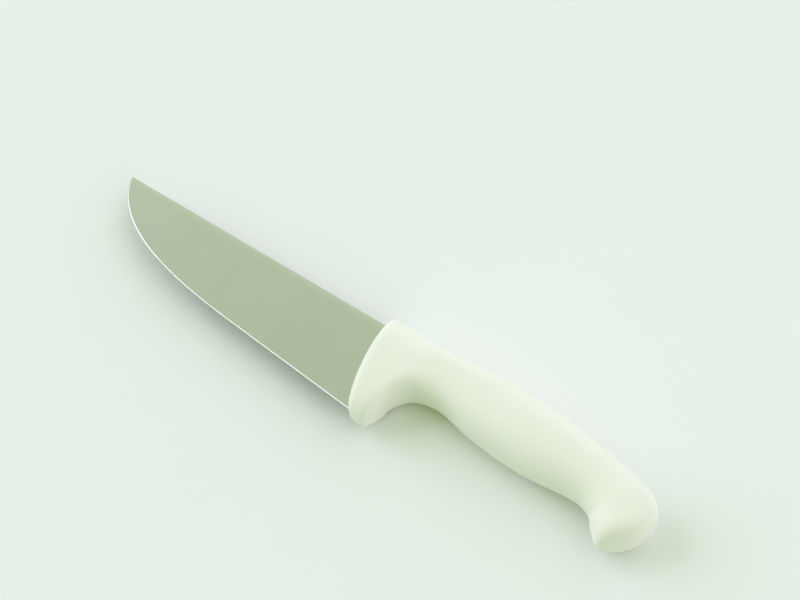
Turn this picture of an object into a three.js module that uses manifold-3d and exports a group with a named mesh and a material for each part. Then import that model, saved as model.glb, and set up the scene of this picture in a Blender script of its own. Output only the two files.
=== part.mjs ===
// Butcher knife: a taper-ground steel blade, with its tang inside a handle moulded over it in one piece.
// Millimetres. +X runs from the tip to the butt, +Y from the edge to the spine, +Z up, out of the blade's side.
// While the knife is built, the origin is on the spine where the blade leaves the handle, midway through it.

import * as THREE from 'three';
import { mergeVertices } from 'three/addons/utils/BufferGeometryUtils.js';
import Module from 'manifold-3d';

const wasm = await Module();
wasm.setup();

// Blade outline
const BLADE_LENGTH = 150;      // from the tip to the handle, along the spine
const HEEL_HEIGHT = 41.3;      // from the spine to the edge, at the handle
const EDGE_SLOPE = 0.079;      // fall of the straight edge for each millimetre towards the handle
const BELLY_LENGTH = 94;       // from the tip to the place where the edge runs straight
const BELLY_PULL = 36;         // length of the belly curve's handle on the straight edge
const TIP_ANGLE = 67;          // degrees between the spine and the edge at the tip
const TIP_PULL = 31;           // length of the belly curve's handle at the tip

// Blade grind
const STOCK_THICKNESS = 2.2;   // the sheet that the blade is made of, as the tang still is
const SPINE_THICKNESS = 2;     // at the handle
const TIP_THICKNESS = 1.2;     // at the end of the spine
const EDGE_THICKNESS = 0.3;    // behind the bevel, where the belly begins
const BEVEL_WIDTH = 0.4;       // the honed bevel along the edge
const EDGE_LAND = 0.05;        // what is left of the thickness at the very edge

// Tang
const HEEL_SEAT = 2.2;         // the heel runs this far into the guard at its foot
const TANG_SHORTFALL = 46;     // the tang stops this far short of the butt
const TANG_WALL = 6;           // plastic over and under the tang at the forefinger groove
const TANG_END_HEIGHT = 10;
const LOCK_HOLES = 3;
const LOCK_HOLE_DIAMETER = 6;
const MOULD_GAP = 0.3;         // all round the steel inside the handle

// Handle
const HANDLE_LENGTH = 143.7;
const GUARD_RISE = 3.7;        // the handle's back above the spine, at the guard
const GUARD_OVERHANG = 2.9;    // from the heel of the edge down to the foot of the guard
const GUARD_RAKE = 10.3;       // the foot of the guard lies this far behind its top
const GUARD_FOOT = 6.9;        // the foot's length along the knife
const GUARD_BOW = 1.9;         // the guard's front bulges this far towards the tip
const GUARD_THICKNESS = 21.6;
const LIP_RADIUS = 4.6;        // rounding of the guard's front edge
const HORN_RADIUS = 4;         // rounding of the guard's foot, seen from the side
const GROOVE_AT = 39.3;        // from the handle's front to the middle of the forefinger groove
const GROOVE_RISE = 3.2;       // the handle's back above the spine, over the groove
const NECK_HEIGHT = 23;        // across the forefinger groove
const NECK_THICKNESS = 21.5;
const PALM_AT = 0.6;           // the palm, as a share of the way from the groove to the hook
const PALM_RISE = 5.1;         // the handle's back above the spine, at the palm
const PALM_HEIGHT = 30.1;
const PALM_THICKNESS = 23;
const WAIST_RISE = 1.7;        // the handle's back above the spine, ahead of the hook
const WAIST_HEIGHT = 25.5;
const WAIST_THICKNESS = 20.5;
const HOOK_LENGTH = 30;        // the handle turns down into its hook over this length
const HOOK_DROP = 34.5;        // from the spine down to the foot of the hook
const HOOK_THICKNESS = 22;
const FOOT_AT = 0.4;           // the hook's lowest point, as a share of its length ahead of the butt
const FOOT_PULL = 0.48;        // roundness of the hook's foot
const NECK_SQUARENESS = 3;     // power of the sections' outline at the guard and the neck, 2 for an ellipse
const GRIP_SQUARENESS = 2.35;  // and from the palm to the butt

// What follows from these sizes
const GUARD_DROP = HEEL_HEIGHT + GUARD_OVERHANG;        // from the spine down to the foot of the guard
const HEEL_DEPTH = GUARD_RAKE + HEEL_SEAT;              // the blade's full height runs this far into the handle
const TANG_REACH = HANDLE_LENGTH - TANG_SHORTFALL;      // from the handle's front to the end of the tang

// Fineness of the mesh
const STEPS_PER_SECTION = 8;
const POINTS_PER_RING = 40;
const LIP_STEPS = 4;
const FOOT_STEPS = 24;
const STRAIGHT_STEPS = 6;
const BELLY_STEPS = 36;
const HOLE_SEGMENTS = 32;

const STEEL = { color: 0xb3bea3, roughness: 0.38, metalness: 0.85 };
const POLYPROPYLENE = { color: 0xe4ecd8, roughness: 0.5, metalness: 0 };

// A closed skin over rings with the same number of points each: the first ring is closed by a strip from side to
// side, and the last one by a fan to the tip.
function skin(rings, tip) {
  const count = rings[0].length;
  const points = [...rings.flat(), tip];
  const faces = [];
  for (let i = 0, j = count - 1; i + 1 < j; i++, j--) {
    faces.push(i, j, i + 1);
    if (i + 1 < j - 1) faces.push(j, j - 1, i + 1);
  }
  for (let i = 0; i < count; i++) {
    const next = (i + 1) % count;
    for (let r = 0; r < rings.length - 1; r++) {
      const a = r * count;
      const b = a + count;
      faces.push(a + i, a + next, b + next, a + i, b + next, b + i);
    }
    const end = (rings.length - 1) * count;
    faces.push(points.length - 1, end + i, end + next);
  }
  const geometry = new THREE.BufferGeometry().setFromPoints(points);
  geometry.setIndex(faces);
  return geometry;
}

// A place on the hook, as a share of its length ahead of the butt
function hook(share) {
  return HANDLE_LENGTH - share * HOOK_LENGTH;
}

// A place on the grip, as a share of the way from the forefinger groove to the hook
function grip(share) {
  return THREE.MathUtils.lerp(GROOVE_AT, hook(1), share);
}

// Power of a section's outline there: it gets rounder from the groove to the palm.
function squareness(x) {
  const share = THREE.MathUtils.smoothstep(x, GROOVE_AT, grip(PALM_AT));
  return THREE.MathUtils.lerp(NECK_SQUARENESS, GRIP_SQUARENESS, share);
}

// A point of the handle's rails without the size that its height carries
function flat(point) {
  return new THREE.Vector3(point.x, point.y, 0);
}

// three.js geometry to a manifold and back
function toSolid(geometry) {
  const bare = geometry.clone();
  bare.deleteAttribute('normal');
  bare.deleteAttribute('uv');
  const merged = mergeVertices(bare, 1e-5);
  return new wasm.Manifold(new wasm.Mesh({
    numProp: 3,
    vertProperties: new Float32Array(merged.attributes.position.array),
    triVerts: new Uint32Array(merged.index.array),
  }));
}

function toGeometry(solid) {
  const mesh = solid.getMesh();
  const geometry = new THREE.BufferGeometry();
  geometry.setAttribute('position', new THREE.BufferAttribute(mesh.vertProperties, mesh.numProp));
  geometry.setIndex(new THREE.BufferAttribute(mesh.triVerts, 1));
  geometry.computeVertexNormals();
  return geometry;
}

// A place on the straight stretch of the edge, seen from the side
function straightEdge(x) {
  return new THREE.Vector2(x, -HEEL_HEIGHT - EDGE_SLOPE * x);
}

// The whole edge seen from the side: straight from inside the handle, then the belly up to the tip.
function edgePoints() {
  const heel = straightEdge(HEEL_DEPTH);
  const bellyStart = straightEdge(BELLY_LENGTH - BLADE_LENGTH);
  const tip = new THREE.Vector2(-BLADE_LENGTH, 0);
  const onward = bellyStart.clone().sub(heel).setLength(BELLY_PULL);
  const tipAngle = THREE.MathUtils.degToRad(TIP_ANGLE);
  const intoTip = new THREE.Vector2(Math.cos(tipAngle), -Math.sin(tipAngle)).multiplyScalar(TIP_PULL);
  const belly = new THREE.CubicBezierCurve(bellyStart, onward.add(bellyStart), intoTip.add(tip), tip);
  const straight = new THREE.LineCurve(heel, bellyStart);
  return [...straight.getPoints(STRAIGHT_STEPS).slice(0, -1), ...belly.getPoints(BELLY_STEPS)];
}

// Half the thickness of the ground blade: each side is one plane, which falls to the tip and to the edge.
function groundHalf(x, y) {
  const start = straightEdge(BELLY_LENGTH - BLADE_LENGTH);
  const perLength = (SPINE_THICKNESS - TIP_THICKNESS) / BLADE_LENGTH;
  const perHeight = (SPINE_THICKNESS + perLength * start.x - EDGE_THICKNESS) / -start.y;
  return (SPINE_THICKNESS + perLength * x + perHeight * y) / 2;
}

// The ground blade from its heel to the tip, or the room for it when there is a gap.
function groundBlade(gap) {
  const edge = edgePoints();
  const rings = edge.slice(0, -1).map((point, i) => {
    const along = edge[i + 1].clone().sub(edge[Math.max(i - 1, 0)]).normalize();
    const bevel = new THREE.Vector2(along.y, -along.x).multiplyScalar(BEVEL_WIDTH);
    const x = i === 0 ? point.x + gap : point.x;
    const shoulderX = i === 0 ? x : point.x + bevel.x;
    const shoulderY = point.y + bevel.y;
    const spineHalf = groundHalf(x, 0) + gap;
    const shoulderHalf = groundHalf(shoulderX, shoulderY) + gap;
    const edgeHalf = EDGE_LAND / 2 + gap;
    return [
      new THREE.Vector3(x, gap, spineHalf),
      new THREE.Vector3(x, gap, -spineHalf),
      new THREE.Vector3(shoulderX, shoulderY, -shoulderHalf),
      new THREE.Vector3(x, point.y - gap, -edgeHalf),
      new THREE.Vector3(x, point.y - gap, edgeHalf),
      new THREE.Vector3(shoulderX, shoulderY, shoulderHalf),
    ];
  });
  return skin(rings, new THREE.Vector3(-BLADE_LENGTH, 0, 0));
}

// The flat tang with its lock holes, or the room for it when there is a gap, which thins the posts in them.
function tangPlate(gap) {
  const top = GROOVE_RISE - TANG_WALL;
  const bottom = GROOVE_RISE - NECK_HEIGHT + TANG_WALL;
  const middle = (top + bottom) / 2;
  const endHalf = TANG_END_HEIGHT / 2 + gap;
  const start = HEEL_DEPTH / 2;
  const end = TANG_REACH + gap;
  const outline = new THREE.Shape([
    new THREE.Vector2(start, top + gap),
    new THREE.Vector2(start, bottom - gap),
    new THREE.Vector2(GROOVE_AT, bottom - gap),
    new THREE.Vector2(end, middle - endHalf),
    new THREE.Vector2(end, middle + endHalf),
    new THREE.Vector2(GROOVE_AT, top + gap),
  ]);
  for (let i = 1; i <= LOCK_HOLES; i++) {
    const x = THREE.MathUtils.lerp(HEEL_DEPTH, TANG_REACH, i / (LOCK_HOLES + 1));
    const hole = new THREE.Path();
    hole.absarc(x, middle, LOCK_HOLE_DIAMETER / 2 - gap, 0, 2 * Math.PI);
    outline.holes.push(hole);
  }
  const thickness = STOCK_THICKNESS + 2 * gap;
  const options = { depth: thickness, bevelEnabled: false, curveSegments: HOLE_SEGMENTS };
  return new THREE.ExtrudeGeometry(outline, options).translate(0, 0, -thickness / 2);
}

function steel(gap) {
  return toSolid(groundBlade(gap)).add(toSolid(tangPlate(gap)));
}

// The handle's sections, from the guard to the hook: where each meets the back and the belly, seen from the side,
// its thickness, and how far its middle bulges towards the tip. The last is the hook's foot, which back and belly
// make for.
function handleSections() {
  const foot = GUARD_RAKE + HORN_RADIUS;
  const rear = foot + GUARD_FOOT;
  const grooveY = GROOVE_RISE - NECK_HEIGHT;
  const palmY = PALM_RISE - PALM_HEIGHT;
  const neck = (share) => THREE.MathUtils.lerp(LIP_RADIUS, GROOVE_AT, share);
  const guardRear = (share) => THREE.MathUtils.lerp(rear, GROOVE_AT, share);
  const section = (backX, backY, bellyX, bellyY, thickness, bow = 0) => ({
    back: new THREE.Vector3(backX, backY, 0),
    belly: new THREE.Vector3(bellyX, bellyY, 0),
    thickness,
    bow,
  });
  return [
    section(LIP_RADIUS, 1.09 * GUARD_RISE, foot, -GUARD_DROP, GUARD_THICKNESS, GUARD_BOW),
    section(neck(0.15), GUARD_RISE, foot + 0.65 * GUARD_FOOT, -GUARD_DROP, GUARD_THICKNESS, 0.7 * GUARD_BOW),
    section(neck(0.32), 0.84 * GUARD_RISE, rear, -0.9 * GUARD_DROP, 1.01 * NECK_THICKNESS),
    section(neck(0.52), 0.74 * GUARD_RISE, guardRear(0.05), -0.713 * GUARD_DROP, 1.03 * NECK_THICKNESS),
    section(neck(0.73), 0.77 * GUARD_RISE, guardRear(0.4), 1.14 * grooveY, 1.02 * NECK_THICKNESS),
    section(neck(0.95), GROOVE_RISE, GROOVE_AT, grooveY, NECK_THICKNESS),
    section(grip(0.28), PALM_RISE, grip(0.28), 0.957 * palmY, 0.96 * PALM_THICKNESS),
    section(grip(PALM_AT), 0.89 * PALM_RISE, grip(PALM_AT), 1.03 * palmY, PALM_THICKNESS),
    section(grip(0.895), WAIST_RISE, grip(0.9), WAIST_RISE - WAIST_HEIGHT, WAIST_THICKNESS),
    section(hook(0.7), -WAIST_RISE, hook(1.01), -0.7 * HOOK_DROP, WAIST_THICKNESS),
    section(hook(0.26), -0.17 * HOOK_DROP, hook(0.825), -0.785 * HOOK_DROP, HOOK_THICKNESS),
    section(hook(0.04), -0.445 * HOOK_DROP, hook(0.735), -0.895 * HOOK_DROP, HOOK_THICKNESS),
    section(hook(FOOT_AT), -HOOK_DROP, hook(FOOT_AT), -HOOK_DROP, HOOK_THICKNESS),
  ];
}

// One ring of the handle: a rounded section of the given half thickness, on the line from the back to the belly.
function handleRing(back, belly, half, bow = 0) {
  const centre = back.clone().add(belly).multiplyScalar(0.5);
  const reach = back.clone().sub(belly).multiplyScalar(0.5);
  const forward = new THREE.Vector3(-reach.y, reach.x, 0).normalize();
  const power = 2 / squareness(centre.x);
  const rounded = (value) => Math.sign(value) * Math.abs(value) ** power;
  const ring = [];
  for (let i = 0; i < POINTS_PER_RING; i++) {
    const angle = (2 * Math.PI * i) / POINTS_PER_RING;
    const across = rounded(Math.cos(angle));
    const up = rounded(Math.sin(angle));
    const bulge = bow * (1 - across ** 2);
    const point = centre.clone().addScaledVector(reach, across).addScaledVector(forward, bulge);
    ring.push(point.setZ(half * up));
  }
  return ring;
}

// The guard's front edge is rounded: rings that draw in while they run forward in the rails' own directions.
function lipRings({ back, belly, thickness, bow }, backRail, bellyRail) {
  const inward = belly.clone().sub(back).normalize();
  const backWay = flat(backRail.getTangent(0)).normalize();
  const bellyWay = flat(bellyRail.getTangent(0)).normalize();
  const rings = [];
  for (let i = LIP_STEPS; i > 0; i--) {
    const angle = (i / LIP_STEPS) * Math.PI / 2;
    const inset = 1 - Math.cos(angle);
    const run = -Math.sin(angle);
    const top = back.clone().addScaledVector(inward, LIP_RADIUS * inset).addScaledVector(backWay, LIP_RADIUS * run);
    const bottom = belly.clone().addScaledVector(inward, -HORN_RADIUS * inset);
    bottom.addScaledVector(bellyWay, HORN_RADIUS * run);
    rings.push(handleRing(top, bottom, thickness / 2 - LIP_RADIUS * inset, bow));
  }
  return rings;
}

// The hook's foot: where the last section ends, the back and the belly run on and turn into each other, while the
// section thins to nothing.
function footRings(foot, backRail, bellyRail, last) {
  const backEnd = flat(backRail.getPoint(last));
  const bellyEnd = flat(bellyRail.getPoint(last));
  const across = backEnd.clone().sub(bellyEnd).multiplyScalar(FOOT_PULL / 2);
  const turn = (end, rail, sideways) => {
    const onward = flat(rail.getTangent(last)).setLength(FOOT_PULL * end.distanceTo(foot));
    return new THREE.CubicBezierCurve3(end, onward.add(end), sideways.add(foot), foot);
  };
  const backTurn = turn(backEnd, backRail, across.clone());
  const bellyTurn = turn(bellyEnd, bellyRail, across.clone().negate());
  const rings = [];
  for (let i = 1; i < FOOT_STEPS; i++) {
    const share = i / FOOT_STEPS;
    const half = (HOOK_THICKNESS / 2) * Math.cos((share * Math.PI) / 2);
    rings.push(handleRing(backTurn.getPoint(share), bellyTurn.getPoint(share), half));
  }
  return rings;
}

function handleBody() {
  const sections = handleSections();
  const rail = (of) => new THREE.CatmullRomCurve3(sections.map(of));
  const backRail = rail(({ back, thickness }) => new THREE.Vector3(back.x, back.y, thickness / 2));
  const bellyRail = rail(({ belly, bow }) => new THREE.Vector3(belly.x, belly.y, bow));
  const stretches = sections.length - 1;
  const steps = (stretches - 1) * STEPS_PER_SECTION;
  const rings = [];
  for (let i = 0; i <= steps; i++) {
    const share = i / (stretches * STEPS_PER_SECTION);
    const back = backRail.getPoint(share);
    const belly = bellyRail.getPoint(share);
    rings.push(handleRing(flat(back), flat(belly), back.z, belly.z));
  }
  const foot = sections[stretches].back;
  const lip = lipRings(sections[0], backRail, bellyRail);
  const end = footRings(foot, backRail, bellyRail, (stretches - 1) / stretches);
  return skin([...lip, ...rings, ...end], foot);
}

function part(name, geometry, finish) {
  const mesh = new THREE.Mesh(geometry, new THREE.MeshStandardMaterial(finish));
  mesh.name = name;
  return mesh;
}

const blade = part('blade', toGeometry(steel(0)), STEEL);
const handle = part('handle', toGeometry(toSolid(handleBody()).subtract(steel(MOULD_GAP))), POLYPROPYLENE);

// The knife lies on its side, with the origin under the middle of its box.
const knife = new THREE.Group();
knife.add(blade, handle);
const box = new THREE.Box3().setFromObject(knife);
const centre = box.getCenter(new THREE.Vector3());
knife.position.set(-centre.x, -centre.y, -box.min.z);

export default knife;
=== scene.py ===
# A butcher knife lying on its side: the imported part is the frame, and its blade and handle are dressed here.

from math import atan2, copysign, cos, pi, radians, sin, sqrt

import bmesh
import bpy
from mathutils import Matrix, Vector
from mathutils.geometry import interpolate_bezier


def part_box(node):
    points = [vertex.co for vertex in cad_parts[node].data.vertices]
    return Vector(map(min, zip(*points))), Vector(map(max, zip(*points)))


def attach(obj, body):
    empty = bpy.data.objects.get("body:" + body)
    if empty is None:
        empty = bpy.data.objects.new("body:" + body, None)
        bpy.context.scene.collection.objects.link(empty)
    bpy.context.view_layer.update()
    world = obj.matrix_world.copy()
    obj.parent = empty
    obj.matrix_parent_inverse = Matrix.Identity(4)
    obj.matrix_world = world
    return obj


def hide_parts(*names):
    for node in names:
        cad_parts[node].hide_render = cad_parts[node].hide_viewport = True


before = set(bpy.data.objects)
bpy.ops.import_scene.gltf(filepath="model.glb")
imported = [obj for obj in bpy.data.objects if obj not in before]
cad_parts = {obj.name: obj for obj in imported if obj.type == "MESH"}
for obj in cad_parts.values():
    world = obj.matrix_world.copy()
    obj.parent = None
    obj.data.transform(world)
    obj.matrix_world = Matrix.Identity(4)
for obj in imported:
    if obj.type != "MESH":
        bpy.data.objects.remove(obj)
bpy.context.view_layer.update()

# Sizes in millimetres. The knife's own frame: the origin is on the spine where the blade leaves the handle,
# midway through the blade. +X runs to the butt, +Y from the edge to the spine, +Z out of the blade's side.
MM = 0.001

# Blade outline
BLADE_LENGTH = 150
HEEL_HEIGHT = 41.3
EDGE_SLOPE = 0.079
BELLY_LENGTH = 94
BELLY_PULL = 36
TIP_ANGLE = 67
TIP_PULL = 31

# Blade grind
STOCK_THICKNESS = 2.2
SPINE_THICKNESS = 2
TIP_THICKNESS = 1.2
EDGE_THICKNESS = 0.3
BEVEL_WIDTH = 0.4
EDGE_LAND = 0.05
SPINE_ROUNDING = 0.5

# Tang
HEEL_SEAT = 2.2
TANG_SHORTFALL = 46
TANG_WALL = 6
TANG_END_HEIGHT = 10
LOCK_HOLES = 3
LOCK_HOLE_DIAMETER = 6

# Handle
HANDLE_LENGTH = 143.7
GUARD_RISE = 3.7
GUARD_OVERHANG = 2.9
GUARD_RAKE = 10.3
GUARD_FOOT = 6.9
GUARD_BOW = 1.9
GUARD_THICKNESS = 21.6
LIP_RADIUS = 4.6
HORN_RADIUS = 4
GROOVE_AT = 39.3
GROOVE_RISE = 3.2
NECK_HEIGHT = 23
NECK_THICKNESS = 21.5
PALM_AT = 0.6
PALM_RISE = 5.1
PALM_HEIGHT = 30.1
PALM_THICKNESS = 23
WAIST_RISE = 1.7
WAIST_HEIGHT = 25.5
WAIST_THICKNESS = 20.5
HOOK_LENGTH = 30
HOOK_DROP = 34.5
HOOK_THICKNESS = 22
FOOT_AT = 0.4
FOOT_PULL = 0.48
NECK_SQUARENESS = 3
GRIP_SQUARENESS = 2.35

# What follows from these sizes
GUARD_DROP = HEEL_HEIGHT + GUARD_OVERHANG
HEEL_DEPTH = GUARD_RAKE + HEEL_SEAT
TANG_REACH = HANDLE_LENGTH - TANG_SHORTFALL
TANG_TOP = GROOVE_RISE - TANG_WALL
TANG_BOTTOM = GROOVE_RISE - NECK_HEIGHT + TANG_WALL

# Fineness and tolerances of the meshes
STEPS_PER_SECTION = 8
STEPS_PER_CORNER = 16
LIP_STEPS = 10
FOOT_STEPS = 24
BELLY_STEPS = 64
HOLE_STEPS = 32
SPINE_STEPS = 4
WELD = 0.0005
CREASE = 3
UPRIGHT = 0.5

# Colours
STEEL_DARK = (0.415, 0.445, 0.37)
STEEL_LIGHT = (0.535, 0.565, 0.48)
# The honed colours are lifted well above the steel's as a painted highlight along the edge
HONED_AND_HIGHLIGHT_DARK = (0.65, 0.67, 0.6)
HONED_AND_HIGHLIGHT_LIGHT = (0.74, 0.76, 0.69)
PLASTIC_SHADE = (0.87, 0.867, 0.803)
PLASTIC_LIGHT = (0.9, 0.897, 0.833)
FLOOR_SHADE = (0.88, 0.885, 0.895)
FLOOR_LIGHT = (0.89, 0.895, 0.905)

# Grain of the finishes: its lengths along X, Y and Z
GRINDING_LINES = (0.12, 9, 9)
GRINDING_BANDS = (0.8, 24, 24)
STEEL_CLOUDS = (22, 30, 30)
STONE_SCRATCHES = (0.06, 2, 2)
MOULD_GRAIN = (0.35, 0.35, 0.35)
PLASTIC_CLOUDS = (14, 14, 14)
FLOOR_CLOUDS = (40, 40, 40)

# Gloss and depth of the finishes
STEEL_ROUGHNESS = 0.27
HONED_ROUGHNESS = 0.5
PLASTIC_ROUGHNESS = 0.36
FLOOR_ROUGHNESS = 0.85
PLASTIC_SHEEN = 0.3
LIGHT_SINKS_IN = 0.2
SINK_DEPTH = 2
SINK_SPREAD = (1, 1, 0.85)
# Width in millimetres of the painted highlight along the spine
SPINE_HIGHLIGHT_WIDTH = 4

# Light: a white room with a window side, a dull stretch of ceiling and a dim front. Each of these lies in a
# direction, given by its heading from +X and its height in degrees, and fades out between two cosines of the
# angle from there.
WALLS = (1.125, 1.17, 1.19)
WINDOW, WINDOW_WAY, WINDOW_FADE = (2.7, 2.65, 3.3), (194, 28), (0.77, 1)
CEILING, CEILING_WAY, CEILING_FADE = (0.74, 0.86, 0.6), (145, 53), (0.83, 0.97)
FRONT, FRONT_WAY, FRONT_FADE = (0.22, 0.37, 0), (230, 10), (-0.1, 0.15)
FLOOR_SIZE = 60

# View
CAMERA_PLACE = (0.2136984, -0.227581, 0.5202479)
CAMERA_HEADING, CAMERA_TILT, CAMERA_ROLL = 39.2372, 33.6128, -4.1716
CAMERA_LENS = 62.2143


def lerp(a, b, share):
    return a + (b - a) * share


# Modelling helpers

def new_piece(name):
    """An empty mesh object of that name, alone selected and in edit mode."""
    bpy.ops.object.select_all(action="DESELECT")
    bpy.ops.mesh.primitive_plane_add(enter_editmode=True)
    bpy.ops.mesh.delete(type="VERT")
    piece = bpy.context.object
    piece.name = name
    piece.data.name = name
    return piece


def pick(test):
    """Selects the vertices, and the edges and faces between them, that pass a test in edit mode."""
    mesh = bpy.context.object.data
    sculpt = bmesh.from_edit_mesh(mesh)
    for vertex in sculpt.verts:
        vertex.select_set(test(vertex))
    sculpt.select_flush_mode()
    bmesh.update_edit_mesh(mesh)


def set_in_frame(piece):
    """From millimetres in the knife's own frame to metres in the part's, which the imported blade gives."""
    low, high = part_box("blade")
    bpy.ops.object.mode_set(mode="EDIT")
    bpy.ops.mesh.select_all(action="SELECT")
    bpy.ops.transform.resize(value=(MM, MM, MM), center_override=(0, 0, 0))
    origin = (low[0] + BLADE_LENGTH * MM, high[1], (low[2] + high[2]) / 2)
    bpy.ops.transform.translate(value=origin)
    bpy.ops.object.mode_set(mode="OBJECT")


# The handle: rounded sections along two rails, bridged into one skin

def hook(share):
    """A place on the hook, as a share of its length ahead of the butt."""
    return HANDLE_LENGTH - share * HOOK_LENGTH


def grip(share):
    """A place on the grip, as a share of the way from the forefinger groove to the hook."""
    return lerp(GROOVE_AT, hook(1), share)


def squareness(x):
    """Power of a section's outline there: it gets rounder from the groove to the palm."""
    share = min(max((x - GROOVE_AT) / (grip(PALM_AT) - GROOVE_AT), 0), 1)
    return lerp(NECK_SQUARENESS, GRIP_SQUARENESS, share * share * (3 - 2 * share))


def handle_sections():
    """Where each section meets the back and the belly, with half its thickness and its bow as third number.
    The last is the hook's foot, which back and belly make for."""
    foot = GUARD_RAKE + HORN_RADIUS
    rear = foot + GUARD_FOOT
    groove = GROOVE_RISE - NECK_HEIGHT
    palm = PALM_RISE - PALM_HEIGHT

    def neck(share):
        return lerp(LIP_RADIUS, GROOVE_AT, share)

    def guard_rear(share):
        return lerp(rear, GROOVE_AT, share)

    table = (
        (LIP_RADIUS, 1.09 * GUARD_RISE, foot, -GUARD_DROP, GUARD_THICKNESS, GUARD_BOW),
        (neck(0.15), GUARD_RISE, foot + 0.65 * GUARD_FOOT, -GUARD_DROP, GUARD_THICKNESS, 0.7 * GUARD_BOW),
        (neck(0.32), 0.84 * GUARD_RISE, rear, -0.9 * GUARD_DROP, 1.01 * NECK_THICKNESS, 0),
        (neck(0.52), 0.74 * GUARD_RISE, guard_rear(0.05), -0.713 * GUARD_DROP, 1.03 * NECK_THICKNESS, 0),
        (neck(0.73), 0.77 * GUARD_RISE, guard_rear(0.4), 1.14 * groove, 1.02 * NECK_THICKNESS, 0),
        (neck(0.95), GROOVE_RISE, GROOVE_AT, groove, NECK_THICKNESS, 0),
        (grip(0.28), PALM_RISE, grip(0.28), 0.957 * palm, 0.96 * PALM_THICKNESS, 0),
        (grip(PALM_AT), 0.89 * PALM_RISE, grip(PALM_AT), 1.03 * palm, PALM_THICKNESS, 0),
        (grip(0.895), WAIST_RISE, grip(0.9), WAIST_RISE - WAIST_HEIGHT, WAIST_THICKNESS, 0),
        (hook(0.7), -WAIST_RISE, hook(1.01), -0.7 * HOOK_DROP, WAIST_THICKNESS, 0),
        (hook(0.26), -0.17 * HOOK_DROP, hook(0.825), -0.785 * HOOK_DROP, HOOK_THICKNESS, 0),
        (hook(0.04), -0.445 * HOOK_DROP, hook(0.735), -0.895 * HOOK_DROP, HOOK_THICKNESS, 0),
        (hook(FOOT_AT), -HOOK_DROP, hook(FOOT_AT), -HOOK_DROP, HOOK_THICKNESS, 0),
    )
    backs = [Vector((row[0], row[1], row[4] / 2)) for row in table]
    bellies = [Vector((row[2], row[3], row[5])) for row in table]
    return backs, bellies


def rail(points, steps):
    """A smooth line through all points but the last, which it makes for, as a centripetal Catmull-Rom spline,
    and its direction where it ends."""
    line = []
    for k in range(len(points) - 2):
        a, b, after = points[k:k + 3]
        before = points[k - 1] if k > 0 else 2 * a - b
        lead, span, trail = (sqrt((q - p).length) for p, q in ((before, a), (a, b), (b, after)))
        leave = (a - before) / lead - (b - before) / (lead + span) + (b - a) / span
        arrive = (b - a) / span - (after - a) / (span + trail) + (after - b) / trail
        handles = a + leave * span / 3, b - arrive * span / 3
        line += interpolate_bezier(a, *handles, b, steps + 1)[:-1]
    return line + [points[-2].copy()], arrive


def lip_rings(backs, bellies):
    """The guard's front edge is rounded: rings that draw in while they run forward along the rails."""
    back, belly = backs[0].to_2d(), bellies[0].to_2d()
    inward = (belly - back).normalized()
    back_way = (backs[1].to_2d() - back).normalized()
    belly_way = (bellies[1].to_2d() - belly).normalized()
    rings = []
    for step in range(LIP_STEPS, 0, -1):
        angle = step / LIP_STEPS * pi / 2
        inset = 1 - cos(angle)
        run = sin(angle)
        top = back + LIP_RADIUS * (inset * inward - run * back_way)
        bottom = belly - HORN_RADIUS * (inset * inward + run * belly_way)
        rings.append((top, bottom, backs[0].z - LIP_RADIUS * inset, bellies[0].z))
    return rings


def foot_rings(foot, back, back_way, belly, belly_way):
    """The hook's foot: back and belly run on and turn into each other, while the section thins to nothing."""
    across = (back - belly).to_2d() * FOOT_PULL / 2
    turns = []
    for end, way, sideways in ((back.to_2d(), back_way, across), (belly.to_2d(), belly_way, -across)):
        onward = end + way.to_2d().normalized() * FOOT_PULL * (foot - end).length
        turns.append(interpolate_bezier(end, onward, foot + sideways, foot, FOOT_STEPS + 1))
    rings = []
    for step in range(1, FOOT_STEPS):
        half = back.z * cos(step / FOOT_STEPS * pi / 2)
        rings.append((turns[0][step].to_2d(), turns[1][step].to_2d(), half, 0))
    return rings


def handle_rings():
    """Every ring from the lip to the foot: its ends on back and belly, half its thickness and its bow."""
    backs, bellies = handle_sections()
    back_rail, back_way = rail(backs, STEPS_PER_SECTION)
    belly_rail, belly_way = rail(bellies, STEPS_PER_SECTION)
    rings = lip_rings(backs, bellies)
    for back, belly in zip(back_rail, belly_rail):
        rings.append((back.to_2d(), belly.to_2d(), back.z, belly.z))
    return rings + foot_rings(backs[-1].to_2d(), backs[-2], back_way, bellies[-2], belly_way)


def bow_forward(piece, rings):
    """The guard's front sections bulge towards the tip, most in their middle."""
    points = piece.data.vertices
    for face, (back, belly, _, bow) in zip(piece.data.polygons, rings):
        centre = (back + belly) / 2
        reach = (back - belly) / 2
        forward = Vector((-reach.y, reach.x, 0)).normalized()
        for index in face.vertices:
            across = (points[index].co.to_2d() - centre).dot(reach) / reach.length_squared
            points[index].co += forward * bow * (1 - across ** 2)


def lay_rings(rings):
    """Each ring is a plane across the handle, whose corners are rounded until they meet."""
    for back, belly, half, _ in rings:
        reach = back - belly
        centre = (back + belly) / 2
        turn = (pi / 2, 0, atan2(reach.y, reach.x))
        bpy.ops.mesh.select_all(action="DESELECT")
        bpy.ops.mesh.primitive_plane_add(size=reach.length, location=centre.to_3d(), rotation=turn)
        bpy.ops.transform.resize(value=(1, 1, 2 * half / reach.length), center_override=(0, 0, 0))
        profile = 2 ** (-2 / squareness(centre.x))
        bpy.ops.mesh.bevel(affect="VERTICES", offset_type="PERCENT", offset_pct=50,
                           segments=STEPS_PER_CORNER, profile=profile, clamp_overlap=False)
    bpy.ops.mesh.select_all(action="SELECT")
    bpy.ops.mesh.remove_doubles(threshold=WELD)


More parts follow.
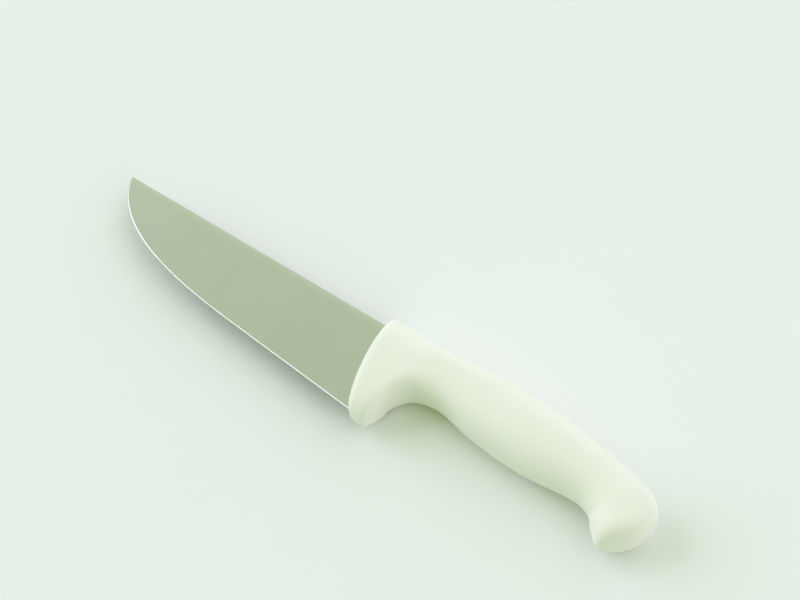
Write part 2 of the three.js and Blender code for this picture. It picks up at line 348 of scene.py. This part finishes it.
def bridge_rings():
    """One skin over the rings. The guard's front is closed from side to side, and the foot by a point."""
    bpy.ops.mesh.select_all(action="SELECT")
    bpy.ops.mesh.delete(type="ONLY_FACE")
    bpy.ops.mesh.select_all(action="SELECT")
    bpy.ops.mesh.bridge_edge_loops()
    pick(lambda v: v.is_boundary and v.co.x < GROOVE_AT and abs(v.co.z) > WELD)
    bpy.ops.mesh.bridge_edge_loops()
    pick(lambda v: v.is_boundary and v.co.x < GROOVE_AT)
    bpy.ops.mesh.fill_holes(sides=3)
    pick(lambda v: v.is_boundary)
    bpy.ops.mesh.extrude_edges_move()
    bpy.ops.mesh.merge(type="CENTER")
    bpy.ops.mesh.select_all(action="SELECT")
    bpy.ops.mesh.normals_make_consistent(inside=False)


def model_handle():
    rings = handle_rings()
    piece = new_piece("moulded_handle")
    lay_rings(rings)
    bpy.ops.object.mode_set(mode="OBJECT")
    bow_forward(piece, rings)
    bpy.ops.object.mode_set(mode="EDIT")
    bridge_rings()
    set_in_frame(piece)
    bpy.ops.object.shade_smooth()
    return piece


# The blade: its outline as a curve, given its thickness, ground to two planes and bevelled along the edge

def straight_edge(x):
    return Vector((x, -HEEL_HEIGHT - EDGE_SLOPE * x))


def ground_half(x, y):
    """Half the blade's thickness: each side is one plane, which falls to the tip and to the edge."""
    start = straight_edge(BELLY_LENGTH - BLADE_LENGTH)
    per_length = (SPINE_THICKNESS - TIP_THICKNESS) / BLADE_LENGTH
    per_height = (SPINE_THICKNESS + per_length * start.x - EDGE_THICKNESS) / -start.y
    return (SPINE_THICKNESS + per_length * x + per_height * y) / 2


def cut_plate(name, outlines, thickness):
    """A plate cut to closed outlines: the first is its rim, and the others are holes."""
    bpy.ops.object.select_all(action="DESELECT")
    bpy.ops.curve.primitive_bezier_curve_add()
    piece = bpy.context.object
    piece.name = name
    curve = piece.data
    curve.dimensions = "2D"
    curve.fill_mode = "BOTH"
    curve.splines.clear()
    for outline in outlines:
        spline = curve.splines.new("POLY")
        spline.points.add(len(outline) - 1)
        spline.use_cyclic_u = True
        for point, place in zip(spline.points, outline):
            point.co = (place[0], place[1], 0, 1)
    bpy.ops.object.convert(target="MESH")
    piece.data.name = name
    bpy.ops.object.mode_set(mode="EDIT")
    bpy.ops.mesh.select_all(action="SELECT")
    if len(outlines) == 1:
        bpy.ops.mesh.dissolve_faces()
    bpy.ops.mesh.extrude_region_move(TRANSFORM_OT_translate={"value": (0, 0, thickness)})
    bpy.ops.mesh.select_all(action="SELECT")
    bpy.ops.transform.translate(value=(0, 0, -thickness / 2))
    bpy.ops.mesh.normals_make_consistent(inside=False)
    bpy.ops.object.mode_set(mode="OBJECT")
    return piece


def blade_outline():
    tip = Vector((-BLADE_LENGTH, 0))
    heel = straight_edge(HEEL_DEPTH)
    belly = straight_edge(BELLY_LENGTH - BLADE_LENGTH)
    onward = belly + (belly - heel).normalized() * BELLY_PULL
    angle = radians(TIP_ANGLE)
    into_tip = tip + Vector((cos(angle), -sin(angle))) * TIP_PULL
    curve = interpolate_bezier(belly, onward, into_tip, tip, BELLY_STEPS + 1)
    return [(HEEL_DEPTH, 0), heel, *curve]


def tang_outlines():
    middle = (TANG_TOP + TANG_BOTTOM) / 2
    low, high = middle - TANG_END_HEIGHT / 2, middle + TANG_END_HEIGHT / 2
    start = HEEL_DEPTH / 2
    plate = [(start, TANG_TOP), (start, TANG_BOTTOM), (GROOVE_AT, TANG_BOTTOM), (TANG_REACH, low),
             (TANG_REACH, high), (GROOVE_AT, TANG_TOP)]
    outlines = [plate]
    radius = LOCK_HOLE_DIAMETER / 2
    angles = [2 * pi * step / HOLE_STEPS for step in range(HOLE_STEPS)]
    for k in range(1, LOCK_HOLES + 1):
        x = lerp(HEEL_DEPTH, TANG_REACH, k / (LOCK_HOLES + 1))
        outlines.append([(x + radius * cos(angle), middle + radius * sin(angle)) for angle in angles])
    return outlines


def is_edge_wall(face):
    """Whether a face stands upright and looks away from the spine and from the heel."""
    return abs(face.normal.z) < UPRIGHT and face.normal.x < UPRIGHT and face.normal.y < 0


def grind(piece):
    """Both sides to their planes, then the bevel: all but the edge's wall is inset, and the wall thinned."""
    for vertex in piece.data.vertices:
        vertex.co.z = copysign(ground_half(vertex.co.x, vertex.co.y), vertex.co.z)
    bpy.ops.object.mode_set(mode="EDIT")
    bpy.ops.mesh.select_mode(type="FACE")
    sculpt = bmesh.from_edit_mesh(piece.data)
    sculpt.normal_update()
    for face in sculpt.faces:
        face.select_set(not is_edge_wall(face))
    bmesh.update_edit_mesh(piece.data)
    bpy.ops.mesh.inset(thickness=BEVEL_WIDTH)
    sculpt = bmesh.from_edit_mesh(piece.data)
    sculpt.normal_update()
    edge = {vertex for face in sculpt.faces if is_edge_wall(face) for vertex in face.verts}
    for vertex in sculpt.verts:
        vertex.co.x = min(vertex.co.x, HEEL_DEPTH)
        vertex.co.y = min(vertex.co.y, 0)
        half = EDGE_LAND / 2 if vertex in edge else ground_half(vertex.co.x, vertex.co.y)
        vertex.co.z = copysign(half, vertex.co.z)
    bmesh.update_edit_mesh(piece.data)
    bpy.ops.mesh.select_mode(type="VERT")
    bpy.ops.object.mode_set(mode="OBJECT")


def round_spine(piece):
    """Takes off the two long corners of the spine."""
    bpy.ops.object.mode_set(mode="EDIT")
    pick(lambda v: v.co.y > -WELD and abs(v.co.z) > EDGE_LAND)
    bpy.ops.mesh.select_mode(type="EDGE")
    sculpt = bmesh.from_edit_mesh(piece.data)
    for edge in sculpt.edges:
        ends = edge.verts[0].co - edge.verts[1].co
        edge.select_set(edge.select and abs(ends.x) > BELLY_LENGTH)
    bmesh.update_edit_mesh(piece.data)
    bpy.ops.mesh.bevel(offset=SPINE_ROUNDING, segments=SPINE_STEPS)
    bpy.ops.mesh.select_mode(type="VERT")
    bpy.ops.object.mode_set(mode="OBJECT")


def fuse(piece, other):
    """Joins another solid to a piece and removes it."""
    bpy.ops.object.select_all(action="DESELECT")
    bpy.context.view_layer.objects.active = piece
    piece.select_set(True)
    join = piece.modifiers.new("join", "BOOLEAN")
    join.operation = "UNION"
    join.object = other
    bpy.ops.object.modifier_apply(modifier=join.name)
    bpy.data.objects.remove(other)


def model_blade():
    blade = cut_plate("ground_blade", [blade_outline()], STOCK_THICKNESS)
    grind(blade)
    round_spine(blade)
    tang = cut_plate("tang", tang_outlines(), STOCK_THICKNESS)
    fuse(blade, tang)
    bpy.ops.object.mode_set(mode="EDIT")
    bpy.ops.mesh.select_all(action="DESELECT")
    bpy.ops.mesh.edges_select_sharp(sharpness=radians(CREASE))
    bpy.ops.mesh.mark_sharp()
    set_in_frame(blade)
    bpy.ops.object.shade_smooth()
    return blade


# Finishes

class Value:
    """A number in a finish's nodes, so that shader maths reads as Python."""

    def __init__(self, finish, socket):
        self.finish = finish
        self.socket = socket

    def maths(self, operation, first, second):
        return self.finish.node("ShaderNodeMath", {"operation": operation}, {0: first, 1: second})

    def __add__(self, other):
        return self.maths("ADD", self, other)

    def __sub__(self, other):
        return self.maths("SUBTRACT", self, other)

    def __rsub__(self, other):
        return self.maths("SUBTRACT", other, self)

    def __mul__(self, other):
        return self.maths("MULTIPLY", self, other)

    __radd__ = __add__
    __rmul__ = __mul__


class Finish:
    """The nodes of a material or of the world, around the one shader that it has."""

    def __init__(self, holder, shader, **constants):
        holder.use_nodes = True
        self.holder = holder
        self.tree = holder.node_tree
        self.shader = self.tree.nodes[shader]
        self.give(**constants)

    def node(self, kind, settings=None, sockets=None, output=0):
        """Adds a node: first its settings, then the values or links of its sockets."""
        node = self.tree.nodes.new(kind)
        for name, value in (settings or {}).items():
            setattr(node, name, value)
        for name, value in (sockets or {}).items():
            self.put(node.inputs[name], value)
        return Value(self, node.outputs[output])

    def put(self, socket, value):
        if isinstance(value, Value):
            self.tree.links.new(value.socket, socket)
        elif socket.type == "RGBA":
            socket.default_value = (*value, 1)
        else:
            socket.default_value = value

    def give(self, **sockets):
        """Sets the shader's own sockets, named in lower case with underscores."""
        inputs = {socket.name.lower(): socket for socket in self.shader.inputs}
        for name, value in sockets.items():
            self.put(inputs[name.replace("_", " ")], value)

    def noise(self, spacing, detail=2):
        """Noise on the object's own place, whose grain has these lengths along X, Y and Z in millimetres."""
        place = self.node("ShaderNodeTexCoord", output="Object")
        scale = [1 / (length * MM) for length in spacing]
        place = self.node("ShaderNodeMapping", {"vector_type": "POINT"}, {"Vector": place, "Scale": scale})
        return self.node("ShaderNodeTexNoise", {}, {"Vector": place, "Scale": 1, "Detail": detail})

    def mix(self, first, second, share):
        """From one colour to another by a share."""
        return self.node("ShaderNodeMix", {"data_type": "RGBA"}, {0: share, 6: first, 7: second}, output=2)

    def rise(self, value, low, high):
        """From 0 to 1 between two limits, with soft ends."""
        limits = {"Value": value, "From Min": low, "From Max": high}
        return self.node("ShaderNodeMapRange", {"interpolation_type": "SMOOTHSTEP"}, limits)

    def bump(self, height, strength, distance):
        """A relief of these heights, whose depth is in millimetres."""
        sockets = {"Height": height, "Strength": strength, "Distance": distance * MM}
        return self.node("ShaderNodeBump", {}, sockets)


def new_finish(name, **constants):
    return Finish(bpy.data.materials.new(name), "Principled BSDF", **constants)


def ground_steel():
    """Satin stainless: grinding lines run from spine to edge over a faint clouding, with painted highlight at
    the spine.
    """
    finish = new_finish("ground_steel", metallic=1)
    fine = finish.noise(GRINDING_LINES, 3)
    coarse = finish.noise(GRINDING_BANDS)
    cloud = finish.noise(STEEL_CLOUDS)
    place = finish.node("ShaderNodeTexCoord", output="Object")
    height = finish.node("ShaderNodeSeparateXYZ", {}, {0: place}, output="Y")
    edge, spine = (corner[1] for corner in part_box("blade"))
    # Painted highlight: the steel is paler in a band along the spine, and lighter from the edge up to the
    # spine.
    painted_spine_highlight = finish.rise(height, spine - SPINE_HIGHLIGHT_WIDTH * MM, spine)
    painted_lightening_to_spine = finish.rise(height, edge, spine)
    tone = fine * 0.3 + coarse * 0.2 + cloud * 0.4 + (painted_spine_highlight * 0.4 + painted_lightening_to_spine * 0.2)
    finish.give(base_color=finish.mix(STEEL_DARK, STEEL_LIGHT, tone),
                roughness=STEEL_ROUGHNESS + fine * 0.12 + coarse * 0.06,
                normal=finish.bump(fine + coarse * 0.5, 0.15, 0.02))
    return finish.holder


def honed_bevel_and_highlight():
    """The bevel, with the short scratches of the stone; its colour is brightened as a painted highlight."""
    finish = new_finish("honed_bevel_and_highlight", metallic=1)
    lines = finish.noise(STONE_SCRATCHES, 3)
    finish.give(base_color=finish.mix(HONED_AND_HIGHLIGHT_DARK, HONED_AND_HIGHLIGHT_LIGHT, lines),
                roughness=HONED_ROUGHNESS + lines * 0.12,
                normal=finish.bump(lines, 0.1, 0.01))
    return finish.holder


def white_polypropylene():
    """Satin white plastic: a fine moulded grain, and light that sinks in a little."""
    finish = new_finish("white_polypropylene", specular_ior_level=PLASTIC_SHEEN,
                        subsurface_weight=LIGHT_SINKS_IN, subsurface_radius=SINK_SPREAD,
                        subsurface_scale=SINK_DEPTH * MM)
    grain = finish.noise(MOULD_GRAIN, 3)
    cloud = finish.noise(PLASTIC_CLOUDS)
    finish.give(base_color=finish.mix(PLASTIC_SHADE, PLASTIC_LIGHT, cloud),
                roughness=PLASTIC_ROUGHNESS + grain * 0.08 + cloud * 0.06,
                normal=finish.bump(grain, 0.12, 0.02))
    return finish.holder


def pale_floor():
    finish = new_finish("floor", roughness=FLOOR_ROUGHNESS)
    cloud = finish.noise(FLOOR_CLOUDS)
    finish.give(base_color=finish.mix(FLOOR_SHADE, FLOOR_LIGHT, cloud))
    return finish.holder


def dress_blade(blade):
    """The bevel and the edge itself are honed and carry a painted highlight, and all the rest is as ground."""
    middle = sum(corner[2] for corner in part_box("blade")) / 2
    blade.data.materials.clear()
    blade.data.materials.append(ground_steel())
    blade.data.materials.append(honed_bevel_and_highlight())
    points = blade.data.vertices
    for face in blade.data.polygons:
        on_edge = [index for index in face.vertices if abs(points[index].co.z - middle) < EDGE_LAND * MM]
        face.material_index = 1 if len(on_edge) > 1 else 0


# Stage, light and view

def lay_floor():
    bpy.ops.object.select_all(action="DESELECT")
    bpy.ops.mesh.primitive_plane_add(size=FLOOR_SIZE)
    floor = bpy.context.object
    floor.name = "floor"
    floor.data.materials.append(pale_floor())


def light_the_room():
    """Light from all round. The front is dim, yet where it is seen or mirrored it shows the pale walls."""
    world = bpy.data.worlds.new("studio")
    room = Finish(world, "Background")
    looking = room.node("ShaderNodeTexCoord", output="Generated")

    def facing(way, fade):
        heading, height = (radians(angle) for angle in way)
        aim = (cos(heading) * cos(height), sin(heading) * cos(height), sin(height))
        lean = room.node("ShaderNodeVectorMath", {"operation": "DOT_PRODUCT"}, {0: looking, 1: aim}, "Value")
        return room.rise(lean, *fade)

    seen = room.node("ShaderNodeLightPath", output="Is Camera Ray")
    mirrored = room.node("ShaderNodeLightPath", output="Is Glossy Ray")
    colour = room.mix(WALLS, FRONT, facing(FRONT_WAY, FRONT_FADE) * (1 - seen - mirrored))
    colour = room.mix(colour, CEILING, facing(CEILING_WAY, CEILING_FADE))
    colour = room.mix(colour, WINDOW, facing(WINDOW_WAY, WINDOW_FADE))
    room.give(color=colour)
    bpy.context.scene.world = world


def set_camera():
    view = bpy.data.cameras.new("view")
    view.lens = CAMERA_LENS
    camera = bpy.data.objects.new("view", view)
    bpy.context.collection.objects.link(camera)
    heading = Matrix.Rotation(radians(CAMERA_HEADING), 3, "Z")
    tilt = Matrix.Rotation(radians(CAMERA_TILT), 3, "X")
    roll = Matrix.Rotation(radians(CAMERA_ROLL), 3, "Z")
    camera.location = CAMERA_PLACE
    camera.rotation_euler = (heading @ tilt @ roll).to_euler()
    bpy.context.scene.camera = camera


blade = model_blade()
dress_blade(blade)
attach(blade, "root")
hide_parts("blade")

handle = model_handle()
handle.data.materials.clear()
handle.data.materials.append(white_polypropylene())
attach(handle, "root")
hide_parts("handle")

lay_floor()
light_the_room()
set_camera()
bpy.context.scene.view_settings.view_transform = "Standard"
